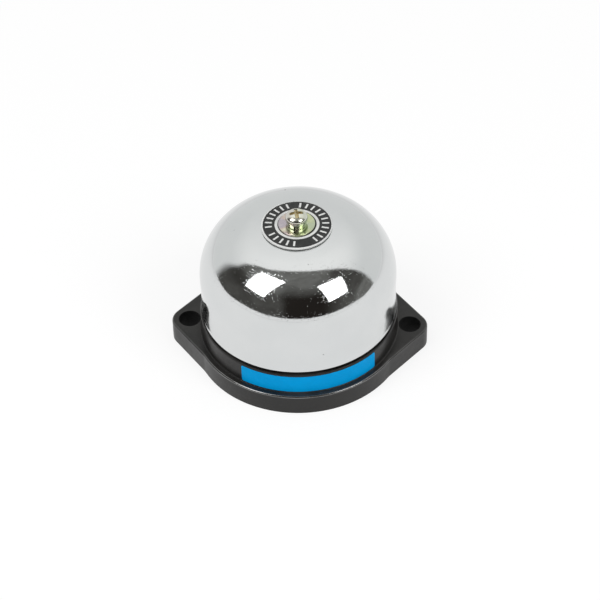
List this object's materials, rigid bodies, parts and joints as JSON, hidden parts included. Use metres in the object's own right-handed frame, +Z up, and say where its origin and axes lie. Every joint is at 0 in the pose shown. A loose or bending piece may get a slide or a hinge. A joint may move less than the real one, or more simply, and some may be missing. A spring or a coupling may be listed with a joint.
{
  "type": "round mains bell",
  "caption": "Small round mains bell: domed chromed gong on an eared black moulded base, struck from inside by a sprung push solenoid.",
  "frame": {"origin": "centre of the base's underside, on the mounting surface", "axes": "+X along the two fixing ears, -Y towards the front with the side label, +Z up through the gong's crown"},
  "size_m": [0.0726, 0.0596, 0.0477],
  "materials": {
    "black_plastic": "satin black moulded plastic",
    "blue_label": "plain blue self-adhesive label",
    "chrome": "bright nickel-chrome plate, slightly hazed",
    "printed_disc": "aluminium disc printed with a black ring",
    "zinc_yellow": "iridescent yellow zinc plate",
    "zinc_plain": "plain zinc plate",
    "soft_iron": "nickel-plated soft iron",
    "spring_steel": "spring steel",
    "brass": "plain brass",
    "copper_wire": "enamelled copper wire",
    "tape": "yellow polyester tape",
    "bobbin_plastic": "natural nylon",
    "hammer_brass": "turned brass",
    "rubber": "black rubber",
    "lead_insulation": "red PVC",
    "diode_body": "black epoxy with a pale band",
    "tinned_wire": "tinned copper",
    "sleeve": "black shrink sleeve"
  },
  "bodies": {
    "bell": {"base_moulding": "black_plastic", "side_label": "blue_label", "gong": "chrome", "name_disc": "printed_disc", "crown_flat_washer": "zinc_yellow", "crown_lock_washer": "zinc_yellow", "crown_narrow_washer": "zinc_yellow", "crown_screw": "zinc_yellow", "cushion_washer": "rubber", "centre_pillar": "zinc_plain", "pillar_washer": "zinc_plain", "pillar_nut": "zinc_plain", "solenoid_yoke": "soft_iron", "yoke_screws": "zinc_plain", "yoke_lock_washers": "spring_steel", "coil_bobbin": "bobbin_plastic", "coil_winding": "copper_wire", "coil_tape": "tape", "guide_tube": "brass", "fixed_pole": "soft_iron", "bumper_washer": "rubber", "return_spring": "spring_steel", "terminal_plates": "brass", "terminal_clamps": "zinc_plain", "terminal_screws": "zinc_plain", "diode": "diode_body", "diode_leads": "tinned_wire", "splice_sleeve": "sleeve", "coil_lead_left": "lead_insulation", "coil_lead_right": "lead_insulation"},
    "striker": {"plunger": "soft_iron", "push_rod": "brass", "hammer": "hammer_brass", "retaining_clip": "spring_steel"}
  },
  "joints": [
    {"name": "striker_slide", "type": "slide", "parent": "bell", "child": "striker", "axis": [1, 0, 0], "range_m": [0, 0.0019], "stiffness_N_per_m": 250, "springref_m": -0.002, "deforming": ["return_spring"]}
  ]
}
